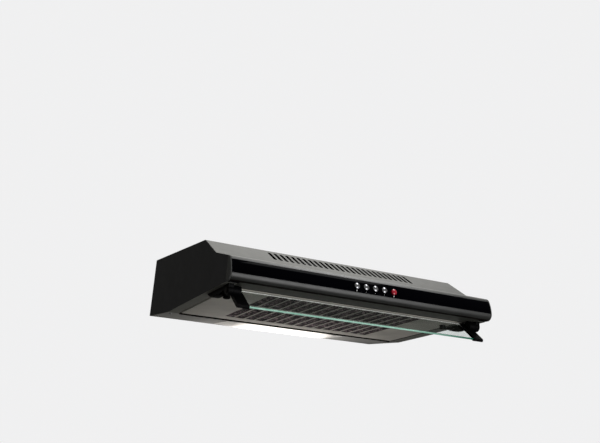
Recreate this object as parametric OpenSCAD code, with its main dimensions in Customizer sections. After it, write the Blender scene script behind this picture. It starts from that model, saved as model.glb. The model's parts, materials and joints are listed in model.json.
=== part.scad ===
// Under-cabinet cooker hood, 600 mm wide, with a tilting glass visor.
// The origin is the centre of the four cabinet screw holes, on the flat top face.
// +X is to the right seen from the front, +Y to the rear and +Z up.

/* [Casing] */
// Width over the two cheeks
hood_w = 600; // [560:10:700]
// Distance from the screw holes' centre to the front edge of the flat top
top_front = 165; // [150:1:180]
// Distance from the screw holes' centre to the rear face
top_rear = 160; // [160:1:175]
// Height of the casing at its rear
hood_h = 131; // [129:1:140]
// Thickness of the painted sheet steel
sheet = 1; // [0.8:0.1:1.2]
// Thickness of the cheeks
cheek_t = 1.2; // [1:0.1:1.5]
// How far the vented front slope runs forward
slope_run = 68; // [60:1:75]
// How far the vented front slope drops
slope_drop = 35; // [30:1:40]
// Width of the cheeks' inward flange
flange_w = 25; // [22:1:28]
// Number of vent slots in the front slope
vent_count = 26; // [10:1:28]
// Distance between vent slots
vent_pitch = 13.2; // [10:0.1:14]
// Width of one vent slot
vent_w = 7.5; // [3:0.5:8]

/* [Fascia] */
// Distance from the screw holes' centre to the front of the fascia
front = 320; // [318:1:325]
// Wall of the fascia moulding
wall = 2.5; // [2:0.5:3]
// Thickness of the gloss strip
strip_t = 1.5; // [1:0.1:2]
// Width of the end caps' outer rim, measured along Y
cap_rim = 22; // [15:1:25]

/* [Buttons] */
// Radius of a push button
button_r = 6; // [4:0.5:7]
// Distance between the four chrome buttons
button_pitch = 21; // [18:0.5:24]
// Place of the first chrome button along X
button_x = -35.6; // [-60:0.1:-20]
// Gap between the last chrome button and the red one
stop_gap = 23; // [20:0.5:30]

/* [Visor] */
// Tilt of the visor at rest, below level
visor_tilt = 34; // [30:1:40]
// Depth of the visor glass
glass_d = 59; // [50:1:62]
// Thickness of the visor glass
glass_t = 4; // [3:0.5:5]
// Outer face of the visor arms along X
arm_x = 279.5; // [276:0.5:280]
// Width of a visor arm
arm_w = 23.5; // [18:0.5:25]

/* [Grille] */
// Half width of the filter grille
grille_x = 272; // [265:1:272]
// Number of slots in each row of the grille
grille_count = 15; // [9:1:17]
// Distance between grille slots
grille_pitch = 24.4; // [20:0.1:26]
// Width of a grille web
grille_web = 3.5; // [3:0.5:8]

/* [Blower] */
// Outer radius of the impeller
impeller_r = 75; // [60:1:76]
// Number of impeller blades
blade_count = 36; // [20:1:48]
// Outer radius of the duct spigot
spigot_r = 60; // [55:0.5:60]
// Height of the duct spigot above the top face
spigot_h = 28; // [20:1:28]

/* [Hidden] */
$fn = 64;

half_w = hood_w / 2;
inner_w = half_w - cheek_t - 0.2;
play = 0.05;

// The underside falls to the rear from the foot of the fascia.
under_tilt = 5.9;
under_y = -305;
under_z = -97;
under_end = 21.5;

// Outline of the fascia's nose, as three arcs that meet smoothly. Angles count from +Z towards -Y.
lip_r = 15;
strip_r = 70;
belly_r = 13.7;
ledge_a = 11;
strip_a0 = 60;
strip_a1 = 82.5;
belly_a1 = 165;
function polar(a) = [-sin(a), cos(a)];
belly_c = [-front + belly_r, -83.8];
strip_c = belly_c + (belly_r - strip_r) * polar(strip_a1);
lip_c = strip_c + (strip_r - lip_r) * polar(strip_a0);
slope_foot = [-top_front - slope_run, -slope_drop];

function arc(c, r, a0, a1, n = 16) = [for (i = [0:n]) c + r * polar(a0 + (a1 - a0) * i / n)];
function under(y) = under_z - tan(under_tilt) * (y - under_y);

module along_x(x0, x1) {
  translate([x0, 0, 0])
    rotate([90, 0, 90])
      linear_extrude(x1 - x0)
        children();
}

// Draws its children in the plane of the underside: y to the rear, z into the hood.
module on_under() {
  translate([0, under_y, under_z])
    rotate([-under_tilt, 0, 0])
      children();
}

// Draws its children on the gloss strip, with z along its outward normal.
module on_strip(x, a, r = strip_r) {
  p = strip_c + r * polar(a);
  translate([x, p[0], p[1]])
    rotate([a, 0, 0])
      children();
}

module x_rod(x0, x1, r) {
  translate([x0, 0, 0])
    rotate([0, 90, 0])
      cylinder(h = x1 - x0, r = r);
}

module both_sides() {
  children();
  mirror([1, 0, 0])
    children();
}

module screw(head_r, head_h, shank_r, shank_l) {
  cylinder(h = head_h, r = head_r, $fn = 32);
  translate([0, 0, -shank_l])
    cylinder(h = shank_l + head_h / 2, r = shank_r, $fn = 24);
}

// ---------------------------------------------------------------- casing

screw_x = 250;
screw_y = 110;
spigot_y = 88;
gland = [-160, 100];
slope_a = atan(slope_drop / slope_run);
vent_start = 12;
vent_l = 44;
rail_y0 = -308;
rail_y1 = -263;
rail_h = 6;
drip_lip = 2.2;
cheek_y0 = -front + cap_rim;
lamp_y0 = 23;

module casing_outline() {
  polygon(concat(
    [[top_rear, 0], [-top_front, 0], slope_foot],
    arc(lip_c, lip_r, ledge_a, strip_a0),
    arc(strip_c, strip_r, strip_a0, strip_a1),
    arc(belly_c, belly_r, strip_a1, belly_a1),
    [[under_end, -hood_h], [top_rear, -hood_h]]
  ));
}

module top_shell() {
  color([0.09, 0.09, 0.09])
    difference() {
      along_x(-inner_w, inner_w)
        polygon([
          [top_rear, 0], [-top_front, 0], [slope_foot[0], slope_foot[1]],
          [slope_foot[0], slope_foot[1] - wall - 0.3],
          [slope_foot[0] - 19, slope_foot[1] - wall - 4.6],
          [slope_foot[0] - 19, slope_foot[1] - wall - 5.6],
          [slope_foot[0] + 1, slope_foot[1] - wall - 1.1],
          [slope_foot[0] + 1, slope_foot[1] - 0.6],
          [-top_front + 0.3, -sheet], [top_rear, -sheet]
        ]);
      for (sx = [-1, 1], sy = [-1, 1])
        translate([sx * screw_x, sy * screw_y, -5])
          cylinder(h = 10, r = 3);
      translate([0, spigot_y, -5])
        cylinder(h = 10, r = spigot_r + 0.5);
      translate([gland[0], gland[1], -5])
        cylinder(h = 10, r = 8);
      both_sides()
        translate([fascia_x - 0.5, slope_foot[0] - 30, slope_foot[1] - 20])
          cube([5, 29.9, 25]);
      translate([0, -top_front, 0])
        rotate([slope_a, 0, 0])
          for (i = [0:vent_count - 1])
            translate([(i - (vent_count - 1) / 2) * vent_pitch, -vent_start - vent_l / 2, -4])
              linear_extrude(8)
                vent_slot();
    }
}

module vent_slot() {
  square([vent_w, vent_l - vent_w], center = true);
  for (s = [-1, 1])
    translate([0, s * (vent_l - vent_w) / 2])
      circle(r = vent_w / 2, $fn = 24);
}

module right_cheek() {
  color([0.11, 0.11, 0.11]) {
    along_x(half_w - cheek_t, half_w)
      intersection() {
        casing_outline();
        translate([cheek_y0, -200])
          square([top_rear - cheek_y0, 201]);
      }
    along_x(half_w - flange_w, half_w - cheek_t)
      polygon([
        [cheek_y0, under(cheek_y0)], [under_end, under(under_end)],
        [under_end, under(under_end) + sheet], [cheek_y0, under(cheek_y0) + sheet]
      ]);
    along_x(half_w - flange_w, half_w - cheek_t)
      translate([lamp_y0 + 1.5, -hood_h + sheet + 0.1])
        square([top_rear - lamp_y0 - 3, sheet]);
  }
}

module left_cheek() {
  mirror([1, 0, 0])
    right_cheek();
}

module rear_panel() {
  color([0.11, 0.11, 0.11])
    along_x(-inner_w, inner_w)
      translate([top_rear - sheet, -hood_h])
        square([sheet, hood_h - sheet - 0.1]);
}

lamp_mid = 88;
lamp_half_x = 152;

module lamp_panel() {
  color([0.2, 0.2, 0.19])
    difference() {
      union() {
        along_x(-inner_w, inner_w)
          translate([lamp_y0, -hood_h])
            square([top_rear - lamp_y0 - 1.2, sheet]);
        along_x(-half_w + flange_w + 1, half_w - flange_w - 1)
          translate([lamp_y0, -hood_h - drip_lip])
            square([sheet, 12 + drip_lip]);
      }
      translate([-lamp_half_x + 10, lamp_mid - 34, -hood_h - 5])
        cube([2 * lamp_half_x - 20, 68, 10]);
    }
}

module front_lip_rail() {
  color([0.22, 0.22, 0.21])
    along_x(-half_w + flange_w + 0.5, half_w - flange_w - 0.5)
      polygon([
        [rail_y0, under(rail_y0)], [rail_y1, under(rail_y1)],
        [rail_y1, under(rail_y1) + rail_h], [rail_y1 - sheet, under(rail_y1) + rail_h],
        [rail_y1 - sheet, under(rail_y1) + sheet + 0.1],
        [rail_y0 + 3, under(rail_y0) + sheet - 0.3], [rail_y0, under(rail_y0) + sheet]
      ]);
}

module shell_screws() {
  color([0.35, 0.35, 0.35])
    both_sides()
      for (y = [lamp_y0 + 22, top_rear - 20])
        translate([half_w - 13, y, -hood_h])
          rotate([180, 0, 0])
            screw(4, 1.6, 1.5, 4);
}

// ---------------------------------------------------------------- fascia

fascia_x = half_w - 2.6;

module fascia_profile() {
  in_r = strip_r - strip_t - wall;
  polygon(concat(
    [slope_foot + [-0.3, 0]],
    arc(lip_c, lip_r, ledge_a, strip_a0),
    arc(strip_c, strip_r - strip_t, strip_a0, strip_a1),
    arc(belly_c, belly_r, strip_a1, belly_a1),
    arc(belly_c, belly_r - wall, belly_a1, strip_a1),
    arc(strip_c, in_r, strip_a1, strip_a0),
    arc(lip_c, lip_r - wall, strip_a0, ledge_a),
    [slope_foot + [-0.3, -wall]]
  ));
}

button_a = 72.7;
button_xs = [
  button_x, button_x + button_pitch, button_x + 2 * button_pitch, button_x + 3 * button_pitch,
  button_x + 3 * button_pitch + stop_gap
];

module button_bores() {
  for (x = button_xs)
    on_strip(x, button_a)
      translate([0, 0, -8])
        cylinder(h = 12, r = button_r + 0.5);
}

module front_fascia() {
  color([0.1, 0.1, 0.1])
    difference() {
      along_x(-fascia_x, fascia_x)
        fascia_profile();
      button_bores();
    }
}

module fascia_strip() {
  edge = 0.3;
  color([0.02, 0.02, 0.02])
    difference() {
      along_x(-fascia_x, fascia_x)
        polygon(concat(
          arc(strip_c, strip_r, strip_a0 + edge, strip_a1 - edge),
          arc(strip_c, strip_r - strip_t + play, strip_a1 - edge, strip_a0 + edge)
        ));
      button_bores();
    }
}

module right_end_cap() {
  color([0.13, 0.13, 0.12]) {
    along_x(fascia_x + 0.1, half_w - cheek_t - 0.1)
      polygon(concat(
        [slope_foot + [-0.3, 0]],
        arc(lip_c, lip_r, ledge_a, strip_a0),
        arc(strip_c, strip_r, strip_a0, strip_a1),
        arc(belly_c, belly_r, strip_a1, belly_a1)
      ));
    along_x(half_w - cheek_t - 0.1, half_w)
      intersection() {
        casing_outline();
        translate([-front - 1, -200])
          square([cap_rim + 0.8, 201]);
      }
  }
}

module left_end_cap() {
  mirror([1, 0, 0])
    right_end_cap();
}

mark_a = 79.9;

module button_marks() {
  color([0.9, 0.9, 0.9])
    for (i = [0:4])
      on_strip(button_xs[i], mark_a)
        translate([0, 0, 0.05])
          linear_extrude(0.3)
            square([i == 0 || i == 4 ? 2.4 : 1.2 + 0.6 * i, i == 0 || i == 4 ? 3 : 1], center = true);
}

// ---------------------------------------------------------------- switches

module switch_body() {
  x0 = button_xs[0] - 12;
  x1 = button_xs[4] + 12;
  color([0.85, 0.85, 0.82])
    difference() {
      on_strip(0, button_a)
        translate([x0, -11, -38])
          cube([x1 - x0, 22, 29]);
      for (x = button_xs)
        on_strip(x, button_a)
          translate([0, 0, -22])
            cylinder(h = 20, r = button_r + 0.5);
    }
}

module switch_bracket() {
  x0 = button_xs[0] - 30;
  x1 = button_xs[4] + 30;
  color([0.7, 0.7, 0.7])
    on_strip(0, button_a)
      translate([x0, -11, -40])
        cube([x1 - x0, 22, 1.8]);
}

module push_button(x) {
  on_strip(x, button_a) {
    translate([0, 0, -14])
      cylinder(h = 16, r = button_r);
    translate([0, 0, 2])
      rotate_extrude()
        intersection() {
          translate([0, -11.5])
            circle(r = 14);
          translate([0, 0])
            square([button_r, 6]);
        }
  }
}

module light_button() {
  color([0.85, 0.85, 0.86])
    push_button(button_xs[0]);
}

module speed_1_button() {
  color([0.85, 0.85, 0.86])
    push_button(button_xs[1]);
}

module speed_2_button() {
  color([0.85, 0.85, 0.86])
    push_button(button_xs[2]);
}

module speed_3_button() {
  color([0.85, 0.85, 0.86])
    push_button(button_xs[3]);
}

module stop_button() {
  color([0.75, 0.05, 0.1])
    push_button(button_xs[4]);
}

// ---------------------------------------------------------------- visor

pivot = [-284, -110];
hub_r = 10;
pin_r = 4;
glass_off = 7.5;
glass_u0 = -17;
glass_u1 = glass_u0 + glass_d;
jaw = 7;
glass_grip = 8;
foot_y0 = 26;
foot_l = 95;
foot_drop = 14;
foot_x0 = arm_x + 0.5;
foot_x1 = half_w - 10;
lug_y0 = -293;
lug_y1 = -262;

// Draws its children about the visor's axis: x forward and down the visor, y off its upper face.
module on_visor() {
  translate([0, pivot[0], pivot[1]])
    rotate([visor_tilt, 0, 0])
      rotate([90, 0, -90])
        mirror([0, 0, 1])
          children();
}

module right_visor_bracket() {
  r = (foot_l * foot_l / 4 + foot_drop * foot_drop) / (2 * foot_drop);
  half_a = asin(foot_l / 2 / r);
  color([0.05, 0.05, 0.05])
    difference() {
      union() {
        on_under()
          translate([foot_x0, 0, 0])
            along_x(0, foot_x1 - foot_x0)
              polygon(concat(
                [for (i = [0:20])
                  let (a = -half_a + 2 * half_a * i / 20)
                    [foot_y0 + foot_l / 2 + r * sin(a), -0.1 + (r - foot_drop) - r * cos(a)]]
              ));
        along_x(foot_x0, foot_x1)
          polygon([
            [lug_y0, under(lug_y0) - 0.1], [lug_y1, under(lug_y1) - 0.1],
            [lug_y1, under(lug_y1) - 8], [pivot[0] + 7, pivot[1] - 7.1],
            [pivot[0] - 7, pivot[1] - 7.1], [lug_y0, under(lug_y0) - 5]
          ]);
        translate([0, pivot[0], pivot[1]])
          x_rod(foot_x0, foot_x1, hub_r);
      }
      translate([0, pivot[0], pivot[1]])
        x_rod(arm_x - 1, foot_x1 + 1, pin_r + play);
    }
}

module left_visor_bracket() {
  mirror([1, 0, 0])
    right_visor_bracket();
}

module visor_bracket_screws() {
  color([0.6, 0.6, 0.6])
    both_sides()
      for (y = [foot_y0 + 24, foot_y0 + 70])
        on_under()
          translate([(foot_x0 + foot_x1) / 2, y, sheet])
            screw(3.5, 1.8, 1.6, 6);
}

module right_visor_arm() {
  color([0.04, 0.04, 0.04])
    difference() {
      union() {
        translate([0, pivot[0], pivot[1]])
          x_rod(arm_x - arm_w + glass_grip + 0.2, arm_x, hub_r);
        on_visor()
          translate([glass_u0 - 0.5, -glass_off - jaw / 2, arm_x - arm_w])
            cube([glass_d + 1, jaw, arm_w]);
        on_visor()
          translate([glass_u1 + 0.5, -glass_off, arm_x - arm_w])
            cylinder(h = arm_w, r = jaw / 2);
      }
      on_visor()
        translate([glass_u0 - 3, -glass_off - glass_t / 2 - play, arm_x - arm_w - 1])
          cube([glass_d + 3, glass_t + 2 * play, glass_grip + 1]);
      translate([0, pivot[0], pivot[1]])
        x_rod(arm_x - arm_w + glass_grip + 1, arm_x + 1, pin_r);
    }
}

module left_visor_arm() {
  mirror([1, 0, 0])
    right_visor_arm();
}

module visor_glass() {
  glass_x = arm_x - arm_w + glass_grip - 0.2;
  color([0.55, 0.8, 0.72, 0.5])
    on_visor()
      translate([glass_u0, -glass_off - glass_t / 2, -glass_x])
        cube([glass_d - 0.2, glass_t, 2 * glass_x]);
}

module visor_pins() {
  color([0.8, 0.8, 0.8])
    both_sides()
      translate([0, pivot[0], pivot[1]]) {
        x_rod(arm_x - arm_w + glass_grip + 1, foot_x1 + 0.3, pin_r);
        x_rod(foot_x1 + 0.3, foot_x1 + 2, pin_r + 1.5);
      }
}

module visor_clamp_screws() {
  color([0.6, 0.6, 0.6])
    both_sides()
      for (u = [8, 32])
        on_visor()
          translate([u, -glass_off - jaw / 2, arm_x - arm_w + glass_grip / 2])
            rotate([90, 0, 0])
              screw(3, 1.5, 1.2, 1.2);
}

// ---------------------------------------------------------------- grille and filter

grille_y0 = 44.5;
grille_y1 = 326;
tray_h = 10;
row_l = 110;
row_ys = [120, 243];
hinge_y = 320;
hinge_z = 5;
latch_x = 258;
latch_y = 100;
latch_travel = 5;

module grille_panel() {
  color([0.24, 0.24, 0.23])
    on_under()
      difference() {
        translate([-grille_x, grille_y0, 0])
          cube([2 * grille_x, grille_y1 - grille_y0, tray_h]);
        translate([-grille_x + sheet, grille_y0 + sheet, sheet])
          cube([2 * (grille_x - sheet), grille_y1 - grille_y0 - 2 * sheet, tray_h]);
        for (y = row_ys, i = [0:grille_count - 1])
          translate([(i - (grille_count - 1) / 2) * grille_pitch, y, 0])
            cube([grille_pitch - grille_web, row_l, 8], center = true);
        both_sides()
          translate([latch_x - 3, latch_y - 3, -1])
            cube([6, 6 + latch_travel, 4]);
        both_sides()
          translate([0, hinge_y, hinge_z])
            x_rod(grille_x - 3, grille_x + 1, 2.5);
      }
}

module filter_mat() {
  color([0.35, 0.33, 0.32])
    on_under()
      difference() {
        translate([-grille_x + 6, grille_y0 + 6, sheet + 0.2])
          cube([2 * grille_x - 12, grille_y1 - grille_y0 - 16, 5.8]);
        both_sides()
          translate([latch_x - 14, grille_y0, 0])
            cube([40, latch_y - grille_y0 + 24, 12]);
      }
}

module filter_wires() {
  color([0.75, 0.75, 0.75])
    on_under()
      for (y = [82, 140, 198, 256, 306])
        translate([0, y, 8.4])
          x_rod(-grille_x + 0.6, grille_x - 0.6, 1.2);
}

module grille_hinge_pins() {
  color([0.8, 0.8, 0.8])
    on_under()
      both_sides()
        translate([0, hinge_y, hinge_z])
          x_rod(grille_x - 5, grille_x + 9, 2.5);
}

module grille_hinge_brackets() {
  color([0.7, 0.7, 0.7])
    on_under()
      both_sides()
        difference() {
          translate([half_w - flange_w + 0.5, hinge_y - 6.5, sheet + 0.2])
            cube([8, 13, 10.5]);
          translate([0, hinge_y, hinge_z])
            x_rod(grille_x, grille_x + 14, 2.5 + play);
        }
}

module right_grille_latch() {
  color([0.05, 0.05, 0.05])
    on_under()
      translate([latch_x, latch_y, 0]) {
        translate([0, 0, -8.4])
          cylinder(h = 8, r = 7.5);
        translate([0, 0, -1])
          cylinder(h = 4, r = 2.5);
        translate([-8, grille_y0 - latch_y + sheet + 0.4, sheet + 0.4])
          cube([16, latch_y - grille_y0 + 10, 2]);
      }
}

module left_grille_latch() {
  mirror([1, 0, 0])
    right_grille_latch();
}

// ---------------------------------------------------------------- lamp

lamp_drop = 7;

module diffuser_form(grow) {
  hull() {
    translate([-lamp_half_x - grow, lamp_mid - 40 - grow, -hood_h - 1.9])
      cube([2 * (lamp_half_x + grow), 80 + 2 * grow, 1.8]);
    for (sx = [-1, 1], sy = [-1, 1])
      translate([sx * (lamp_half_x - 26), lamp_mid + sy * 14, -hood_h - lamp_drop + 12 - grow])
        sphere(r = 12, $fn = 32);
  }
}

module lamp_diffuser() {
  color([1, 0.97, 0.9])
    difference() {
      intersection() {
        diffuser_form(0);
        translate([-200, 0, -hood_h - 20])
          cube([400, 200, 19.9]);
      }
      translate([0, 0, 2])
        diffuser_form(-3);
    }
}

module lamp_reflector() {
  color([0.85, 0.85, 0.85])
    along_x(-lamp_half_x + 6, lamp_half_x - 6)
      polygon([
        [lamp_mid - 38, -129.8], [lamp_mid - 26, -90.2], [lamp_mid + 26, -90.2],
        [lamp_mid + 38, -129.8], [lamp_mid + 37, -129.8], [lamp_mid + 25.4, -91],
        [lamp_mid - 25.4, -91], [lamp_mid - 37, -129.8]
      ]);
}

lamp_z = -109;

module lamp_holders() {
  color([0.9, 0.9, 0.88])
    both_sides()
      translate([0, lamp_mid, lamp_z])
        difference() {
          x_rod(118, 160, 13);
          x_rod(117, 145, 7.2);
        }
}

module lamp_bulbs() {
  color([1, 1, 0.95])
    both_sides()
      translate([0, lamp_mid, lamp_z])
        rotate([0, 90, 0])
          rotate_extrude()
            polygon([
              [0, 34], [3, 37], [7, 46], [11.5, 62], [14, 78], [14, 88], [12, 98], [8.5, 108],
              [7, 114], [7, 140], [0, 140]
            ]);
}

// ---------------------------------------------------------------- blower

fan = [-85, -38];
scroll_r = 84;
scroll_growth = 60;
scroll_top = -12;
scroll_bottom = -88;
tongue_a = 45;

// Spiral of the scroll, from its tongue round to its outlet, drawn inset by t.
function spiral(t) = [for (i = [0:36])
  let (a = tongue_a + (360 - tongue_a) * i / 36, r = scroll_r + scroll_growth * i / 36 - t)
    [fan[0] + r * cos(a), fan[1] + r * sin(a)]];

module scroll_area(t) {
  out_x = fan[0] + scroll_r + scroll_growth;
  polygon(spiral(t));
  translate([-24 + t, fan[1] + 0.01])
    square([out_x + 24 - 2 * t, 110]);
  polygon([
    [-63 + t, 150 - t], [-63 + t, 58 + t], [-24 + t, 38 + t], [63 - t, 38 + t], [63 - t, 150 - t]
  ]);
}

module blower_scroll() {
  window = [64, 60];
  color([0.3, 0.3, 0.3])
    difference() {
      translate([0, 0, scroll_bottom])
        linear_extrude(scroll_top - scroll_bottom)
          scroll_area(0);
      translate([0, 0, scroll_bottom + 2])
        linear_extrude(scroll_top - scroll_bottom)
          scroll_area(2);
      translate([fan[0], fan[1], scroll_bottom - 5])
        cylinder(h = 20, r = 60);
      translate([50, -46, scroll_bottom + 8])
        cube([20, window[1], window[0]]);
      translate([selector[0], selector[1], scroll_bottom - 5])
        cylinder(h = 10, r = 3 + play);
    }
}

module blower_lid() {
  color([0.3, 0.3, 0.3])
    difference() {
      translate([0, 0, scroll_top + 0.1])
        linear_extrude(2)
          scroll_area(0);
      translate([0, spigot_y, scroll_top - 5])
        cylinder(h = 10, r = spigot_r - 2);
    }
}

module inlet_ring() {
  color([0.2, 0.2, 0.2])
    translate([fan[0], fan[1], 0])
      rotate_extrude()
        polygon(concat(
          [for (i = [0:10]) [54 + 6 * (1 - cos(9 * i)), scroll_bottom + 7.5 - 7.5 * sin(9 * i)]],
          [for (i = [10:-1:0]) [55.4 + 4.6 * (1 - cos(9 * i)), scroll_bottom + 7.5 - 6 * sin(9 * i)]]
        ));
}

module inlet_guard() {
  color([0.75, 0.75, 0.75])
    translate([fan[0], fan[1], scroll_bottom - 1.7]) {
      for (r = [14, 28, 42, 56])
        rotate_extrude()
          translate([r, 0])
            circle(r = 1, $fn = 16);
      for (a = [0, 90, 180, 270])
        rotate([0, 0, a])
          translate([0, 0, 0.6])
            x_rod(13.4, 68, 1);
    }
}

module motor_body() {
  color([0.6, 0.6, 0.62])
    translate([fan[0], fan[1], 0])
      difference() {
        union() {
          translate([0, 0, scroll_top - 8])
            cylinder(h = 8, r = 46);
          translate([0, 0, scroll_top - 34])
            cylinder(h = 27, r = 42);
          translate([0, 0, scroll_top - 40])
            cylinder(h = 7, r = 14);
        }
        translate([0, 0, scroll_top - 60])
          cylinder(h = 52, r = 4 + play);
      }
}

module motor_shaft() {
  color([0.75, 0.75, 0.77])
    translate([fan[0], fan[1], scroll_bottom + 12])
      cylinder(h = 54, r = 4);
}

module impeller() {
  color([0.65, 0.67, 0.7])
    translate([fan[0], fan[1], 0])
      difference() {
        union() {
          translate([0, 0, scroll_bottom + 26])
            cylinder(h = 2, r = impeller_r - 2);
          translate([0, 0, scroll_bottom + 16])
            cylinder(h = 11, r = 10);
          for (z = [scroll_bottom + 10, scroll_top - 16])
            translate([0, 0, z])
              difference() {
                cylinder(h = 2, r = impeller_r);
                translate([0, 0, -1])
                  cylinder(h = 4, r = impeller_r - 13);
              }
          for (i = [0:blade_count - 1])
            rotate([0, 0, i * 360 / blade_count])
              translate([impeller_r - 7, 0, scroll_bottom + 11])
                rotate([0, 0, 35])
                  translate([-6, -0.5, 0])
                    cube([12, 1, scroll_top - scroll_bottom - 26]);
        }
        translate([0, 0, scroll_bottom])
          cylinder(h = 60, r = 4);
      }
}

module motor_screws() {
  color([0.5, 0.5, 0.5])
    for (a = [30, 150, 270])
      translate([fan[0], fan[1], scroll_top + 2.1])
        rotate([0, 0, a])
          translate([38, 0, 0])
            screw(4, 2.4, 2, 8);
}

module blower_bushes() {
  color([0.06, 0.06, 0.06])
    for (p = [[-180, -60], [-85, -150], [48, -60], [-54, 142], [54, 142]])
      translate([p[0], p[1], scroll_top + 2.1])
        difference() {
          cylinder(h = -sheet - scroll_top - 2.1, r = 7);
          translate([0, 0, -1])
            cylinder(h = 12, r = 2.5);
        }
}

// ---------------------------------------------------------------- outlet

flap_z = 12;
flap_r = spigot_r - 2.4;

module outlet_spigot() {
  color([0.08, 0.08, 0.08])
    difference() {
      union() {
        translate([0, spigot_y, 0])
          cylinder(h = 2, r = 70);
        translate([0, spigot_y, scroll_top + 3])
          cylinder(h = spigot_h - scroll_top - 3, r = spigot_r);
      }
      translate([0, spigot_y, -50])
        cylinder(h = 100, r = spigot_r - 1.6);
      translate([0, spigot_y, flap_z])
        x_rod(-spigot_r - 1, spigot_r + 1, 1.5);
    }
}

module spigot_screws() {
  color([0.5, 0.5, 0.5])
    for (a = [45, 135, 225, 315])
      translate([0, spigot_y, 2])
        rotate([0, 0, a])
          translate([65.5, 0, 0])
            screw(3, 1.6, 1.4, 5);
}

module flap_pin() {
  color([0.8, 0.8, 0.8])
    translate([0, spigot_y, flap_z])
      x_rod(-spigot_r + 0.1, spigot_r - 0.1, 1.5);
}

// Half-round damper flap on the side of sy, with its two hinge barrels at x0 and x1.
module damper_flap(sy, barrels) {
  translate([0, spigot_y, flap_z])
    difference() {
      union() {
        intersection() {
          translate([0, 0, -0.6])
            cylinder(h = 1.2, r = flap_r);
          translate([-80, sy > 0 ? 3.2 : -83.2, -5])
            cube([160, 80, 10]);
        }
        for (x = barrels) {
          x_rod(x, x + 14, 2.6);
          translate([x, sy > 0 ? 1 : -4, -0.6])
            cube([14, 3, 1.2]);
        }
      }
      x_rod(-80, 80, 1.5 + play);
    }
}

module front_flap() {
  color([0.15, 0.15, 0.15])
    damper_flap(-1, [-48, 10]);
}

module rear_flap() {
  color([0.15, 0.15, 0.15])
    damper_flap(1, [-24, 34]);
}

// ---------------------------------------------------------------- air selector

selector = [53, 18];

module selector_vane() {
  color([0.85, 0.85, 0.85]) {
    translate([selector[0], selector[1], scroll_bottom + 4])
      cylinder(h = 70, r = 3);
    translate([selector[0] - 1, selector[1] - 62, scroll_bottom + 5])
      cube([2, 62, 66]);
    translate([selector[0], selector[1], scroll_bottom - 6])
      cylinder(h = 11, r = 3);
  }
}

module selector_knob() {
  color([0.9, 0.9, 0.9])
    translate([selector[0], selector[1], scroll_bottom - 6.5]) {
      difference() {
        cylinder(h = 6, r = 11);
        translate([0, 0, 0.5])
          cylinder(h = 6, r = 3);
      }
      translate([-2, -10, -3])
        cube([4, 20, 3.1]);
    }
}

// ---------------------------------------------------------------- electrics

module terminal_box() {
  color([0.85, 0.85, 0.82])
    difference() {
      translate([gland[0] - 32, gland[1] - 38, -40])
        cube([64, 70, 38.8]);
      translate([gland[0] - 30, gland[1] - 36, -41])
        cube([60, 66, 37.8]);
      translate([gland[0], gland[1], -10])
        cylinder(h = 20, r = 8.1);
    }
}

module terminal_box_lid() {
  color([0.8, 0.8, 0.78])
    translate([gland[0] - 33, gland[1] - 39, -42.2])
      cube([66, 72, 2]);
}

module run_capacitor() {
  color([0.8, 0.8, 0.8])
    translate([0, 10, -17]) {
      x_rod(-285, -232, 14);
      x_rod(-232, -228, 5);
    }
}

module cable_gland() {
  color([0.06, 0.06, 0.06])
    translate([gland[0], gland[1], 0])
      difference() {
        union() {
          cylinder(h = 4, r = 13);
          cylinder(h = 12, r = 9);
          translate([0, 0, -14])
            cylinder(h = 15, r = 7.9);
        }
        translate([0, 0, -20])
          cylinder(h = 40, r = 4.5);
      }
}

module cable_gland_nut() {
  color([0.06, 0.06, 0.06])
    translate([gland[0], gland[1], -9])
      difference() {
        cylinder(h = 5.7, r = 12, $fn = 6);
        translate([0, 0, -1])
          cylinder(h = 8, r = 7.95);
      }
}

top_shell();
left_cheek();
right_cheek();
rear_panel();
lamp_panel();
front_lip_rail();
front_fascia();
fascia_strip();
left_end_cap();
right_end_cap();
button_marks();
switch_body();
switch_bracket();
light_button();
speed_1_button();
speed_2_button();
speed_3_button();
stop_button();
left_visor_bracket();
right_visor_bracket();
visor_bracket_screws();
left_visor_arm();
right_visor_arm();
visor_glass();
visor_pins();
visor_clamp_screws();
grille_panel();
filter_mat();
filter_wires();
grille_hinge_pins();
grille_hinge_brackets();
left_grille_latch();
right_grille_latch();
lamp_diffuser();
lamp_reflector();
lamp_holders();
lamp_bulbs();
blower_scroll();
blower_lid();
inlet_ring();
inlet_guard();
motor_body();
motor_shaft();
impeller();
motor_screws();
blower_bushes();
outlet_spigot();
spigot_screws();
front_flap();
rear_flap();
flap_pin();
selector_vane();
selector_knob();
terminal_box();
terminal_box_lid();
run_capacitor();
cable_gland();
cable_gland_nut();
shell_screws();
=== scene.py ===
"""Looks of the under-cabinet cooker hood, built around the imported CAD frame."""

import json
import math

import bmesh
import bpy
from mathutils import Matrix, Vector, geometry, noise


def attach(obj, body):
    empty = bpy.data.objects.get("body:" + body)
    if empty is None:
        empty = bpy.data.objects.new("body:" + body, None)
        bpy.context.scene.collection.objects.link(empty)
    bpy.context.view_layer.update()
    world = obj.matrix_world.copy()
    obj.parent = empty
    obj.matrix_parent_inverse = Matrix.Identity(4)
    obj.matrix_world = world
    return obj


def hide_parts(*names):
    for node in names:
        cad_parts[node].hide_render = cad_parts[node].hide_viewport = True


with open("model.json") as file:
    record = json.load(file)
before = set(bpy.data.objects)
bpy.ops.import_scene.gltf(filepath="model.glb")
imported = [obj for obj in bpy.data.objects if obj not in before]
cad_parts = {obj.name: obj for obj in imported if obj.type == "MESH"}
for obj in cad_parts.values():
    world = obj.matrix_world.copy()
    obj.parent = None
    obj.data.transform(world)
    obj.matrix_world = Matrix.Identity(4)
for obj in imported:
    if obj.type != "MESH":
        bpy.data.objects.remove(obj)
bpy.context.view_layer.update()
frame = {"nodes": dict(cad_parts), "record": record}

RECORD = frame["record"]
BODY = {n: b for b, names in RECORD["behaviour"]["bodies"].items() for n in names}
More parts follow.
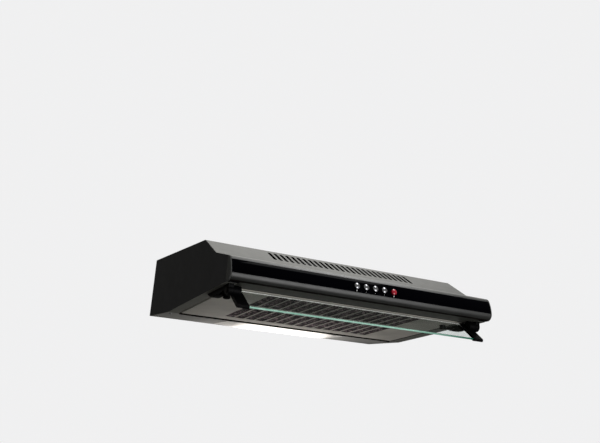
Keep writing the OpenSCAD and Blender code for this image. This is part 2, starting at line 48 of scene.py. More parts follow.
SLOT = {s["node"]: s["material_slot"] for s in RECORD["subparts"]}
MM = 0.001
WELD = 2e-6

# ------------------------------------------------------------------ sizes shared with the CAD, in millimetres

HALF_W = 300.0
CHEEK_T = 1.2
INNER_W = HALF_W - CHEEK_T - 0.2
FASCIA_X = HALF_W - 2.6
FLANGE_W = 25.0
TOP_FRONT, TOP_REAR = 165.0, 160.0
SLOPE_RUN, SLOPE_DROP = 68.0, 35.0
SLOT_COUNT, SLOT_PITCH, SLOT_W, SLOT_L, SLOT_FROM_FOLD = 26, 13.2, 7.5, 44.0, 12.0
CABINET_X, CABINET_Y, CABINET_R = 250.0, 110.0, 3.0
SHEET = 1.0
WALL = 2.5
STRIP_T = 1.5
LIP_R, STRIP_R, BELLY_R = 15.0, 70.0, 13.7
LEDGE_A, STRIP_A0, STRIP_A1, BELLY_A1 = 11.0, 60.0, 82.5, 165.0
UNDER_TILT, UNDER_Y, UNDER_Z = 5.9, -305.0, -97.0
HOOD_H = 131.0
RIM_Y = -298.2
RAIL_Y0, RAIL_Y1 = -308.0, -263.0
LAMP_LIP_Y = 24.5
BUTTON_A, MARK_A = 72.7, 79.9
BUTTON_XS = (-35.6, -14.6, 6.4, 27.4, 50.4)
BUTTON_R = 6.0
PIVOT = (-284.0, -110.0)
VISOR_TILT = 34.0
GLASS_U0, GLASS_U1, GLASS_OFF = -17.0, 41.8, 7.5
ARM_X, ARM_W = 279.5, 23.5
JAW = 7.0
GLASS_T = 4.0
GLASS_GRIP = 8.0
FOOT_X = 285.0
GRILLE_X, GRILLE_Y0, GRILLE_Y1, TRAY_H = 272.0, 44.5, 326.0, 10.0
ROW_YS, ROW_L = (120, 243), 110.0
ROW_COUNT, ROW_PITCH, ROW_SLOT_W = 15, 24.4, 20.9
LATCH_X, LATCH_Y = 258.0, 100.0
SPIGOT = (0.0, 88.0)
SPIGOT_R = 60.0
GLAND = (-160.0, 100.0)


def polar(a):
    """Unit vector in (y, z) at angle a, counted from +Z towards -Y."""
    return Vector((-math.sin(math.radians(a)), math.cos(math.radians(a))))


BELLY_C = Vector((-320.0 + BELLY_R, -83.8))
STRIP_C = BELLY_C + (BELLY_R - STRIP_R) * polar(STRIP_A1)
LIP_C = STRIP_C + (STRIP_R - LIP_R) * polar(STRIP_A0)
SLOPE_FOOT = Vector((-TOP_FRONT - SLOPE_RUN, -SLOPE_DROP))


def arc(c, r, a0, a1, n):
    """Points of an arc in (y, z), from angle a0 to a1."""
    return [c + r * polar(a0 + (a1 - a0) * i / n) for i in range(n + 1)]


def under(y):
    """Height of the sloping underside at y."""
    return UNDER_Z - math.tan(math.radians(UNDER_TILT)) * (y - UNDER_Y)


ON_UNDER = Matrix.Translation((0, UNDER_Y, UNDER_Z)) @ Matrix.Rotation(
    math.radians(-UNDER_TILT), 4, "X"
)


def on_strip(x, a):
    """Place on the gloss strip's face at x and angle a, with Z pointing out of it."""
    p = STRIP_C + STRIP_R * polar(a)
    return Matrix.Translation((x, p.x, p.y)) @ Matrix.Rotation(math.radians(a), 4, "X")


def on_visor():
    """Columns: down the visor, off its upper face, along X."""
    c, s = math.cos(math.radians(VISOR_TILT)), math.sin(math.radians(VISOR_TILT))
    return Matrix(
        ((0, 0, 1, 0), (-c, -s, 0, PIVOT[0]), (-s, c, 0, PIVOT[1]), (0, 0, 0, 1))
    )


# ------------------------------------------------------------------ outlines


def circle(x, y, r, n=32):
    turns = [2 * math.pi * i / n for i in range(n)]
    return [Vector((x + r * math.cos(t), y + r * math.sin(t))) for t in turns]


def rectangle(x0, y0, x1, y1):
    return [Vector(p) for p in ((x0, y0), (x1, y0), (x1, y1), (x0, y1))]


def fillet(points, radii, closed=True, step=12.0):
    """The points with their corners rounded. radii is one number, or one for each point."""
    pts = [Vector(p) for p in points]
    n = len(pts)
    rs = list(radii) if hasattr(radii, "__len__") else [radii] * n
    out = []
    for i, p in enumerate(pts):
        if rs[i] <= 0 or (not closed and i in (0, n - 1)):
            out.append(p)
            continue
        a, b = (pts[i - 1] - p), (pts[(i + 1) % n] - p)
        la, lb = a.length, b.length
        a, b = a / la, b / lb
        half = math.acos(max(-1.0, min(1.0, a.dot(b)))) / 2
        if half > math.radians(89.5):
            out.append(p)
            continue
        cut = min(rs[i] / math.tan(half), la * 0.49, lb * 0.49)
        r = cut * math.tan(half)
        c = p + (a + b).normalized() * (r / math.sin(half))
        s, e = p + a * cut - c, p + b * cut - c
        k = max(2, round(abs(math.degrees(s.angle_signed(e))) / step))
        a0 = math.atan2(s.y, s.x)
        turn = (math.atan2(e.y, e.x) - a0 + math.pi) % (2 * math.pi) - math.pi
        out += [
            c + r * Vector((math.cos(a0 + turn * j / k), math.sin(a0 + turn * j / k)))
            for j in range(k + 1)
        ]
    return out


def stadium(x, y, w, l, n=7):
    """A slot of width w along x and length l along y."""
    r, h = w / 2, l / 2 - w / 2
    return [
        Vector((x + r * math.cos(t), y + s * h + r * math.sin(t)))
        for s, t0 in ((1, 0), (-1, math.pi))
        for t in [t0 + math.pi * i / n for i in range(n + 1)]
    ]


def inside(p, loop):
    """True where a ray from p towards +x crosses the loop an odd number of times."""
    hit = False
    for i, a in enumerate(loop):
        b = loop[i - 1]
        if (a.y > p.y) != (b.y > p.y):
            cross_x = (b.x - a.x) * (p.y - a.y) / (b.y - a.y) + a.x
            hit ^= p.x < cross_x
    return hit


def triangulate(outer, holes=(), lines=(), points=()):
    """Flat mesh of an outline with holes, with edges along lines and vertices at points."""
    verts, edges = [], []
    for loop in (outer, *holes):
        i0, n = len(verts), len(loop)
        verts += [Vector(p) for p in loop]
        edges += [(i0 + i, i0 + (i + 1) % n) for i in range(n)]
    for a, b in lines:
        edges.append((len(verts), len(verts) + 1))
        verts += [Vector(a), Vector(b)]
    verts += [Vector(p) for p in points]
    v, _, f, *_ = geometry.delaunay_2d_cdt(verts, edges, [], 1, 1e-5)
    keep = []
    for face in f:
        c = sum((v[i] for i in face), Vector((0, 0))) / len(face)
        if inside(c, outer) and not any(inside(c, h) for h in holes):
            keep.append(tuple(face))
    return v, keep


# ------------------------------------------------------------------ solids: (vertices, faces) in millimetres


def turned(degrees, axis):
    return Matrix.Rotation(math.radians(degrees), 4, axis)


def moved(solid, matrix):
    verts, faces = solid
    return [matrix @ Vector(v) for v in verts], faces


def mirrored(solid):
    """The same solid on the hood's other side."""
    verts, faces = solid
    return [Vector((-v[0], v[1], v[2])) for v in verts], [tuple(reversed(f)) for f in faces]


def open_edges(faces):
    """The directed edges that only one face has."""
    found = {}
    for f in faces:
        for i in range(len(f)):
            e = (f[i], f[(i + 1) % len(f)])
            found.setdefault(tuple(sorted(e)), []).append(e)
    return [es[0] for es in found.values() if len(es) == 1]


def two_layers(v, f, place):
    """Closes a flat triangulation into a solid. place(p, 0 or 1) gives p's place on either side."""
    n = len(v)
    verts = [place(p, 0) for p in v] + [place(p, 1) for p in v]
    faces = [tuple(t) for t in f] + [tuple(i + n for i in reversed(t)) for t in f]
    faces += [(b, a, a + n, b + n) for a, b in open_edges(f)]
    return verts, faces


def plate(outer, holes, z0, z1):
    """A flat plate in (x, y) from z0 to z1."""
    v, f = triangulate(outer, holes)
    return two_layers(v, f, lambda p, k: Vector((p.x, p.y, (z0, z1)[k])))


def prism(profile, x0, x1):
    """A closed (y, z) profile drawn out along X."""
    n = len(profile)
    verts = [Vector((x, p[0], p[1])) for x in (x0, x1) for p in profile]
    faces = [tuple(range(n)), tuple(reversed(range(n, 2 * n)))]
    faces += [(i, i + n, (i + 1) % n + n, (i + 1) % n) for i in range(n)]
    return verts, faces


def folded(path, x0, x1, thick, holes=()):
    """Sheet metal folded along a (y, z) path that gives its outer face.

    holes are loops in (x, run), where run is the length along the path.
    """
    path = [Vector(p) for p in path]
    run = [0.0]
    for a, b in zip(path, path[1:]):
        run.append(run[-1] + (b - a).length)
    normals = [Vector(((b - a).y, -(b - a).x)).normalized() for a, b in zip(path, path[1:])]
    mitres = []
    for i in range(len(path)):
        a, b = normals[max(0, i - 1)], normals[min(len(normals) - 1, i)]
        m = (a + b).normalized()
        mitres.append(m / max(0.3, m.dot(a)))

    def place(p, k):
        i = next((j for j in range(len(run) - 1) if p.y <= run[j + 1]), len(run) - 2)
        t = (p.y - run[i]) / (run[i + 1] - run[i])
        q = path[i].lerp(path[i + 1], t)
        q = q + k * thick * mitres[i].lerp(mitres[i + 1], t)
        return Vector((p.x, q.x, q.y))

    lines = [((x0, s), (x1, s)) for s in run[1:-1]]
    v, f = triangulate(rectangle(x0, 0, x1, run[-1]), holes, lines)
    return two_layers(v, f, place)


def lathe(profile, n=48):
    """A solid of revolution about Z, from an open (r, z) profile that starts and ends on the axis."""
    verts, faces, rings = [], [], []
    for r, z in profile:
        if r < 1e-6:
            rings.append([len(verts)])
            verts.append(Vector((0, 0, z)))
            continue
        rings.append(list(range(len(verts), len(verts) + n)))
        for i in range(n):
            t = 2 * math.pi * i / n
            verts.append(Vector((r * math.cos(t), r * math.sin(t), z)))
    for a, b in zip(rings, rings[1:]):
        for i in range(n):
            j = (i + 1) % n
            if len(a) == 1:
                faces.append((a[0], b[j], b[i]))
            elif len(b) == 1:
                faces.append((a[i], a[j], b[0]))
            else:
                faces.append((a[i], a[j], b[j], b[i]))
    return verts, faces


def hoop(profile, n, flute=None):
    """A ring about Z from a closed (r, z) profile. flute(angle, r) may change a radius."""
    verts, m = [], len(profile)
    for i in range(n):
        t = 2 * math.pi * i / n
        for r, z in profile:
            q = flute(t, r) if flute else r
            verts.append(Vector((q * math.cos(t), q * math.sin(t), z)))
    faces = [
        (i * m + k, i * m + (k + 1) % m, (i + 1) % n * m + (k + 1) % m, (i + 1) % n * m + k)
        for i in range(n)
        for k in range(m)
    ]
    return verts, faces


def cross_screw(head_r, head_h, shank_r, shank_l):
    """A pan-head screw with a cross recess, its head's foot at z 0."""
    arm, half = head_r * 0.55, head_r * 0.13
    corner = [Vector((half, half)), Vector((half, arm)), Vector((-half, arm))]
    cross = []
    for _ in range(4):
        cross += corner
        corner = [Vector((-p.y, p.x)) for p in corner]
    rim, rise = head_r * 0.93, head_h * 0.45
    rings = [q for s in (0.3, 0.65, 0.85) for q in circle(0, 0, rim * s, 16)]
    rings = [q for q in rings if not inside(q, cross)]
    v, f = triangulate(circle(0, 0, rim, 32), [cross], points=rings)
    verts = [Vector((p.x, p.y, head_h - rise * (p.length / rim) ** 2)) for p in v]
    faces = [tuple(t) for t in f]

    floor = {}
    for a, b in open_edges(f):
        if max(v[a].length, v[b].length) < rim * 0.97:
            for i in (a, b):
                if i not in floor:
                    floor[i] = len(verts)
                    verts.append(Vector((v[i].x * 0.8, v[i].y * 0.8, head_h * 0.25)))
            faces.append((b, a, floor[a], floor[b]))
    v2, f2 = triangulate(cross)
    below = [floor[min(floor, key=lambda j, p=p: (v[j] - p).length)] for p in v2]
    faces += [tuple(below[i] for i in t) for t in f2]

    outer = [i for i in range(len(v)) if v[i].length > rim * 0.97]
    outer.sort(key=lambda i: math.atan2(v[i].y, v[i].x))
    last = outer
    side = [(head_r, head_h * 0.42), (head_r, head_h * 0.12), (head_r * 0.96, 0)]
    side += [(shank_r, 0), (shank_r, -shank_l + shank_r), (shank_r * 0.4, -shank_l)]
    for r, z in side:
        ring = list(range(len(verts), len(verts) + len(outer)))
        for i in outer:
            d = v[i].normalized()
            verts.append(Vector((d.x * r, d.y * r, z)))
        for k in range(len(ring)):
            j = (k + 1) % len(ring)
            faces.append((last[j], last[k], ring[k], ring[j]))
        last = ring
    faces.append(tuple(last))
    return verts, faces


# ------------------------------------------------------------------ shader nodes


class Nodes:
    """Shader nodes in one tree."""

    def __init__(self, tree):
        self.tree = tree

    def feed(self, socket, value):
        """Links a node's output to the socket, or sets the socket's constant."""
        if isinstance(value, bpy.types.NodeSocket):
            self.tree.links.new(value, socket)
        elif socket.type == "RGBA" and len(value) == 3:
            socket.default_value = (*value, 1)
        else:
            socket.default_value = value

    def node(self, kind, **inputs):
        n = self.tree.nodes.new("ShaderNode" + kind)
        for name, value in inputs.items():
            self.feed(n.inputs[name.replace("_", " ")], value)
        return n

    def span(self, value, a, b, low, high, smooth=False):
        """low to high, while value goes from a to b."""
        n = self.node("MapRange", Value=value, From_Min=a, From_Max=b, To_Min=low, To_Max=high)
        if smooth:
            n.interpolation_type = "SMOOTHSTEP"
        return n.outputs[0]

    def mix(self, fac, a, b, blend="MIX"):
        """Colour a where fac is 0, and b where it is 1."""
        n = self.node("Mix")
        n.data_type, n.blend_type = "RGBA", blend
        for socket, value in ((n.inputs[0], fac), (n.inputs[6], a), (n.inputs[7], b)):
            self.feed(socket, value)
        return n.outputs[2]

    def math(self, op, a, b):
        n = self.node("Math")
        n.operation = op
        self.feed(n.inputs[0], a)
        self.feed(n.inputs[1], b)
        return n.outputs[0]

    def dot(self, a, b):
        n = self.node("VectorMath")
        n.operation = "DOT_PRODUCT"
        self.feed(n.inputs[0], a)
        self.feed(n.inputs[1], b)
        return n.outputs["Value"]


class Finish(Nodes):
    """A procedural Principled material. Sizes are in millimetres, but coords are in metres."""

    def __init__(self, name):
        self.name = name
        self.mat = bpy.data.materials.new(name)
        self.mat.use_nodes = True
        super().__init__(self.mat.node_tree)
        self.shader = self.tree.nodes["Principled BSDF"]
        self.coords = self.node("TexCoord").outputs["Object"]
        self.normal = None

    def put(self, socket, value):
        self.feed(self.shader.inputs[socket], value)
        return self

    def noise(self, size, detail=3.0, stretch=(1, 1, 1), distort=0.0):
        place = self.node("Mapping", Vector=self.coords, Scale=stretch).outputs[0]
        scale = 1 / (size * MM)
        n = self.node("TexNoise", Vector=place, Scale=scale, Detail=detail, Distortion=distort)
        return n.outputs["Fac"]

    def cells(self, size, out="Distance"):
        return self.node("TexVoronoi", Vector=self.coords, Scale=1 / (size * MM)).outputs[out]

    def bump(self, height, tall_mm):
        n = self.node("Bump", Height=height, Distance=tall_mm * MM)
        if self.normal is not None:
            self.feed(n.inputs["Normal"], self.normal)
        self.normal = n.outputs[0]
        return self.put("Normal", self.normal)

    def wear_and_highlight(self, colour, other, radius):
        """colour, with other showing along edges: worn edges on the paints, and a painted highlight along the
        grille's slot edges.
        """
        worn = self.node("Bevel", Radius=radius * MM)
        worn.samples = 4
        flat = self.node("NewGeometry").outputs["Normal"]
        edge = self.span(self.dot(worn.outputs[0], flat), 0.99, 0.8, 0.0, 0.6)
        patchy = self.span(self.noise(3), 0.35, 0.65, 0.2, 1.0)
        return self.mix(self.math("MULTIPLY", edge, patchy), colour, other)


# ------------------------------------------------------------------ materials


def scaled(colour, k):
    return tuple(min(1.0, c * k) for c in colour)


def coated(
    name, colour, rough, spec=0.5, varied=1.25, coat=0.0, size=60.0, peel=1.6, tall=0.006,
    wear_and_highlight=None, edge=0.7,
):
    """Paint or moulded plastic: slight cloudiness, uneven gloss and a fine skin."""
    f = Finish(name)
    clouds = f.span(f.noise(size, 4), 0.35, 0.65, 0.0, 1.0)
    base = f.mix(clouds, scaled(colour, 1 / varied), scaled(colour, varied))
    if wear_and_highlight is not None:
        base = f.wear_and_highlight(base, wear_and_highlight, edge)
    f.put("Base Color", base)
    f.put("Roughness", f.span(f.noise(size / 4, 5), 0.3, 0.7, rough * 0.93, rough * 1.07))
    f.put("Specular IOR Level", spec)
    if coat:
        f.put("Coat Weight", coat).put("Coat Roughness", 0.05)
    return f.bump(f.noise(peel, 2), tall)


def grained(name, colour, rough, spec=0.5, size=0.9, tall=0.03):
    """Textured plastic."""
    f = Finish(name)
    spots = f.span(f.noise(size, 2), 0.3, 0.7, 0.0, 1.0)
    f.put("Base Color", f.mix(spots, scaled(colour, 0.7), scaled(colour, 1.35)))
    f.put("Roughness", f.span(f.noise(size * 6, 3), 0.3, 0.7, rough - 0.06, rough + 0.06))
    f.put("Specular IOR Level", spec)
    return f.bump(f.cells(size), tall).bump(f.noise(size * 3, 3), tall * 0.6)


def metal(name, colour, rough, drawn=None, spangle=0.0):
    """Bare metal, brushed along an axis where drawn is given."""
    f = Finish(name)
    lines = f.noise(0.6 if drawn else 4.0, 4, drawn or (1, 1, 1))
    base = f.mix(f.span(lines, 0.3, 0.7, 0.0, 1.0), scaled(colour, 0.86), scaled(colour, 1.08))
    if spangle:
        grey = f.node("RGBToBW", Color=f.cells(spangle, "Color")).outputs[0]
        base = f.mix(f.span(grey, 0, 1, 0.0, 0.35), base, scaled(colour, 0.7))
    f.put("Base Color", base)
    f.put("Metallic", 1.0)
    f.put("Roughness", f.span(lines, 0.3, 0.7, max(0.03, rough * 0.8), rough * 1.25))
    return f.bump(lines, 0.004)


def print_white():
    f = Finish("print_white")
    f.put("Base Color", f.mix(f.noise(0.5, 2), (0.78, 0.78, 0.78), (0.9, 0.9, 0.9)))
    return f.put("Roughness", f.span(f.noise(0.8), 0, 1, 0.35, 0.6))


def filter_fabric():
    """Dark felt with pale specks, in soft blotches."""
    f = Finish("filter_fabric")
    strands = f.noise(6, 3, distort=0.8)
    specks = f.span(strands, 0.5, 0.62, 0.0, 1.0)
    blots = f.span(f.noise(7, 3), 0.4, 0.6, 0, 1)
    felt = f.mix(specks, (0.0025, 0.002, 0.0025), (0.5, 0.4, 0.42))
    shade = f.mix(blots, (0.45, 0.42, 0.44), (1, 1, 1))
    f.put("Base Color", f.mix(1.0, felt, shade, "MULTIPLY"))
    f.put("Roughness", f.span(strands, 0, 1, 0.75, 0.95))
    f.put("Sheen Weight", 0.03)
    return f.bump(strands, 0.8).bump(f.noise(4, 4), 0.8)


def green_glass():
    f = Finish("green_glass")
    f.put("Base Color", (0.93, 0.985, 0.965))
    f.put("Transmission Weight", 1.0).put("IOR", 1.5)
    f.put("Roughness", f.span(f.noise(30, 3), 0.3, 0.7, 0.0, 0.03))
    return f.bump(f.noise(40, 1), 0.01)


def glass_edge():
    """The pane's ground edges: green, with painted shade darker towards the right end, a painted highlight
    pale at the rear, and a painted glow all along.
    """
    f = Finish("glass_edge")
    place = f.node("SeparateXYZ", Vector=f.coords).outputs
    streaks = f.span(f.noise(16, 2, (1, 6, 6)), 0.3, 0.7, 0, 1)
    painted_shade_to_right = f.span(place["X"], 0.1, 0.23, 0.0, 1.0)
    painted_highlight_at_rear = f.span(place["Y"], -0.3, -0.285, 0.0, 1.0)
    tint = f.mix(streaks, (0.3, 0.7, 0.53), (0.58, 0.9, 0.77))
    # Painted shade: the edge goes dark green towards the right end.
    tint = f.mix(painted_shade_to_right, tint, (0.02, 0.16, 0.1))
    # Painted highlight: the rear edge turns pale.
    tint = f.mix(painted_highlight_at_rear, tint, (0.9, 0.9, 0.86))
    f.put("Base Color", tint).put("Roughness", f.span(f.noise(2), 0.3, 0.7, 0.12, 0.3))
    f.put("Transmission Weight", 0.25).put("IOR", 1.5)
    # Painted glow: the edge gives off light though it is no lamp, more at the rear.
    painted_glow = f.span(f.noise(60, 2), 0.3, 0.7, 0.14, 0.24)
    painted_glow = f.math("ADD", painted_glow, f.math("MULTIPLY", painted_highlight_at_rear, 0.3))
    return f.put("Emission Color", tint).put("Emission Strength", painted_glow)


def diffuser():
    """A white lens that glows in its middle, where the two bulbs are."""
    f = Finish("diffuser")
    place = f.node("SeparateXYZ", Vector=f.coords).outputs
    across = f.math("ABSOLUTE", place["X"], 0.0)
    along = f.math("ABSOLUTE", f.math("SUBTRACT", place["Y"], SPIGOT[1] * MM), 0.0)
    lit_across = f.span(across, 0.128, 0.082, 0.03, 1.0)
    lit_along = f.span(along, 0.045, 0.01, 0.45, 1.0)
    glow = f.math("MULTIPLY", lit_across, lit_along)
    f.put("Base Color", f.mix(f.noise(3, 3), (0.82, 0.81, 0.78), (0.93, 0.92, 0.9)))
    f.put("Roughness", f.span(f.noise(2), 0.3, 0.7, 0.3, 0.45))
    f.put("Emission Color", f.mix(glow, (1.0, 0.93, 0.84), (1.0, 0.97, 0.92)))
    return f.put("Emission Strength", f.math("MULTIPLY", glow, 2.6))


def bulb_glass():
    f = Finish("bulb_glass")
    f.put("Base Color", f.mix(f.noise(5), (0.9, 0.89, 0.86), (0.98, 0.97, 0.94)))
    f.put("Roughness", f.span(f.noise(3), 0, 1, 0.3, 0.5))
    f.put("Transmission Weight", 0.4)
    return f.put("Emission Color", (1.0, 0.93, 0.82)).put("Emission Strength", 4.0)


def make_finishes():
    """One finish for each of the record's material slots, and a few that the looks add."""
    worn = (0.05, 0.05, 0.05)
    made = [
        coated("black_paint", (0.011, 0.011, 0.0115), 0.3, varied=1.12, wear_and_highlight=worn),
        coated("side_paint", (0.052, 0.052, 0.055), 0.6, 0.05, varied=1.06, wear_and_highlight=worn),
        coated("grey_paint", (0.22, 0.222, 0.2), 0.42, 0.2, varied=1.1, wear_and_highlight=(0.34, 0.34, 0.32)),
        # Near-white along the slot edges: a painted highlight.
        coated(
            "grille_paint", (0.62, 0.6, 0.55), 0.4, 0.3, varied=1.12, wear_and_highlight=(1.0, 0.9, 0.88), edge=2.4,
        ),
        coated("rail_paint", (0.085, 0.086, 0.077), 0.42, 0.2, varied=1.1),
        coated("lamp_plate_paint", (0.4, 0.4, 0.385), 0.45, 0.3, varied=1.08),
        # Near-black with little gloss: painted shade on the slot walls, the lamp plate's lip and the belly's
        # underside, and also the pins' own black.
        coated("painted_shade_and_pin_black", (0.008, 0.006, 0.0055), 0.5, 0.06, size=20),
        coated(
            "gloss_black", (0.0004, 0.0004, 0.0014), 0.05, 0.03, peel=9.0, tall=0.004, size=120,
        ),
        coated("fascia_black", (0.024, 0.025, 0.024), 0.36, 0.68, peel=1.2, tall=0.004),
        coated("red_plastic", (0.5, 0.008, 0.03), 0.12, 0.6, varied=1.1, size=8, coat=0.6),
        grained("cap_black", (0.09, 0.092, 0.09), 0.55, 0.06, tall=0.015),
        grained("black_plastic", (0.0025, 0.0025, 0.003), 0.42, 0.05, size=0.7, tall=0.01),
        grained("grey_plastic", (0.1, 0.1, 0.1), 0.5),
        grained("white_plastic", (0.7, 0.7, 0.67), 0.45, tall=0.015),
        grained("rubber", (0.02, 0.02, 0.02), 0.75, 0.3),
        metal("chrome", (0.4, 0.4, 0.42), 0.2),
        metal("zinc_steel", (0.55, 0.56, 0.57), 0.32, spangle=2.5),
        metal("aluminium", (0.72, 0.73, 0.75), 0.3, drawn=(1, 1, 0.1)),
        print_white(),
        filter_fabric(),
        green_glass(),
        glass_edge(),
        diffuser(),
        bulb_glass(),
    ]
    return {f.name: f for f in made}


FINISH = make_finishes()

# ------------------------------------------------------------------ pieces


def add_object(name, data):
    obj = bpy.data.objects.new(name, data)
    bpy.context.scene.collection.objects.link(obj)
    return obj


def round_off(obj, bevel, segments, angle):
    if bevel > 0:
        b = obj.modifiers.new("rounding", "BEVEL")
        b.limit_method = "ANGLE"
        b.angle_limit = math.radians(angle)
        b.width = bevel * MM
        b.segments = segments
        b.use_clamp_overlap = True
        b.harden_normals = True
    w = obj.modifiers.new("normals", "WEIGHTED_NORMAL")
    w.keep_sharp = True
    w.weight = 60


def settle(name, bm, node, finish=None, bevel=0.0, segments=2, angle=32.0, second=None, pick=None):
    """Makes a mesh the piece that stands for its CAD node and rides on that node's body.

    finish is the node's own one unless given. Faces for which pick(face) holds get the second one.
    """
    bmesh.ops.recalc_face_normals(bm, faces=bm.faces)
    for face in bm.faces:
        face.smooth = True
        face.material_index = int(pick is not None and pick(face))
    for e in bm.edges:
        if len(e.link_faces) == 2:
            e.smooth = e.calc_face_angle(0.0) < math.radians(angle)
    mesh = bpy.data.meshes.new(name)
    bm.to_mesh(mesh)
    bm.free()
    obj = add_object(name, mesh)
    mesh.materials.append(FINISH[finish or SLOT[node]].mat)
    if second:
        mesh.materials.append(FINISH[second].mat)
    round_off(obj, bevel, segments, angle)
    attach(obj, BODY[node])
    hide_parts(node)
    return obj


def piece(name, solids, node, flat=False, **look):
    """One shown piece from solids in millimetres. flat joins the faces that lie in one plane."""
    bm = bmesh.new()
    for verts, faces in solids:
        made = [bm.verts.new(Vector(v) * MM) for v in verts]
        for f in faces:
            if len(set(f)) >= 3:
                bm.faces.new([made[i] for i in f])
    bmesh.ops.dissolve_degenerate(bm, edges=bm.edges, dist=WELD)
    if flat:
        limit = math.radians(0.3)
        bmesh.ops.dissolve_limit(bm, angle_limit=limit, verts=bm.verts, edges=bm.edges)
    return settle(name, bm, node, **look)


def from_cad(name, node, bevel, **look):
    """The CAD solid with its edges rounded."""
    bm = bmesh.new()
    bm.from_mesh(frame["nodes"][node].data)
    bmesh.ops.remove_doubles(bm, verts=bm.verts, dist=WELD)
    limit = math.radians(0.5)
    bmesh.ops.dissolve_limit(bm, angle_limit=limit, verts=bm.verts, edges=bm.edges)
    return settle(name, bm, node, bevel=bevel, **look)


def subtract(obj, cutters):
    """Cuts closed solids out of a piece's mesh, below its modifiers."""
    for verts, faces in cutters:
        mesh = bpy.data.meshes.new("cutter")
        mesh.from_pydata([Vector(v) * MM for v in verts], [], faces)
        tool = add_object("cutter", mesh)
        cut = obj.modifiers.new("cut", "BOOLEAN")
        cut.object, cut.operation, cut.solver = tool, "DIFFERENCE", "EXACT"
        obj.modifiers.move(obj.modifiers.find(cut.name), 0)
        others = [m for m in obj.modifiers if m != cut]
        for m in others:
            m.show_viewport = False
        bpy.context.view_layer.update()
        new = bpy.data.meshes.new_from_object(obj.evaluated_get(bpy.context.evaluated_depsgraph_get()))
        for m in others:
            m.show_viewport = True
        obj.modifiers.remove(cut)
        old, obj.data = obj.data, new
        new.name = obj.name
        bpy.data.meshes.remove(old)
        bpy.data.objects.remove(tool)
        bpy.data.meshes.remove(mesh)


def build_casing():
    # The slope ends in a short step down and a tongue that runs on forward.
    foot_y, foot_z = SLOPE_FOOT
    path = fillet(
        [
            (TOP_REAR, 0), (-TOP_FRONT, 0), (foot_y + 0.05, foot_z + 0.03), (foot_y, foot_z - 2.8),
            (foot_y - 19, foot_z - 7.1),
        ],
        [0, 2.0, 0.5, 1.2, 0], closed=False, step=6,
    )
    slot_run = TOP_REAR + TOP_FRONT + SLOT_FROM_FOLD + SLOT_L / 2
    holes = [
        circle(s * CABINET_X, TOP_REAR - t * CABINET_Y, CABINET_R, 24)
        for s in (-1, 1)
        for t in (-1, 1)
    ]
    holes.append(circle(SPIGOT[0], TOP_REAR - SPIGOT[1], SPIGOT_R + 0.5, 72))
    holes.append(circle(GLAND[0], TOP_REAR - GLAND[1], 8, 32))
    holes += [
        stadium((i - (SLOT_COUNT - 1) / 2) * SLOT_PITCH, slot_run, SLOT_W, SLOT_L)
        for i in range(SLOT_COUNT)
    ]
    # The walls of the slots and holes take the near-black second finish: painted shade.
    piece(
        "hood_shell", [folded(path, -INNER_W, INNER_W, -SHEET, holes)], "top_shell", bevel=0.12,
        second="painted_shade_and_pin_black", pick=lambda f: abs(f.normal.x) > 0.2,
    )
    for side in ("left", "right"):
        from_cad(
            f"cheek_{side}", f"{side}_cheek", 0.4, finish="side_paint", second="grey_paint",
            pick=lambda f: f.normal.z < -0.6,
        )
    from_cad("rear_sheet", "rear_panel", 0.3)
    # The lamp plate's front-facing lip takes the near-black second finish: a painted shadow line behind the
    # grille's rear edge.
    from_cad(
        "lamp_plate", "lamp_panel", 0.3, finish="lamp_plate_paint", second="painted_shade_and_pin_black",
        pick=lambda f: f.normal.y < -0.7 and f.calc_center_median().y < LAMP_LIP_Y * MM,
    )
    rail = fillet(
        [(RAIL_Y1, under(RAIL_Y1) + 6), (RAIL_Y1, under(RAIL_Y1)), (RAIL_Y0, under(RAIL_Y0))],
        [0, 1.4, 0], closed=False, step=10,
    )
    rail_x = HALF_W - FLANGE_W - 0.5
    piece(
        "lip_rail", [folded(rail, -rail_x, rail_x, SHEET)], "front_lip_rail", bevel=0.3,
        finish="rail_paint",
    )


def nose(strip_inset=0.0):
    """The fascia's outer line, from its lip down and round to its foot."""
    return (
        arc(LIP_C, LIP_R, LEDGE_A, STRIP_A0, 30)
        + arc(STRIP_C, STRIP_R - strip_inset, STRIP_A0, STRIP_A1, 14)
        + arc(BELLY_C, BELLY_R, STRIP_A1, BELLY_A1, 36)
    )


def ledge_point(y):
    """A point of the ledge, which runs straight from the slope's foot to the lip."""
    top = LIP_C + LIP_R * polar(LEDGE_A)
    t = (y - SLOPE_FOOT.x) / (top.x - SLOPE_FOOT.x)
    return SLOPE_FOOT.lerp(top, t)


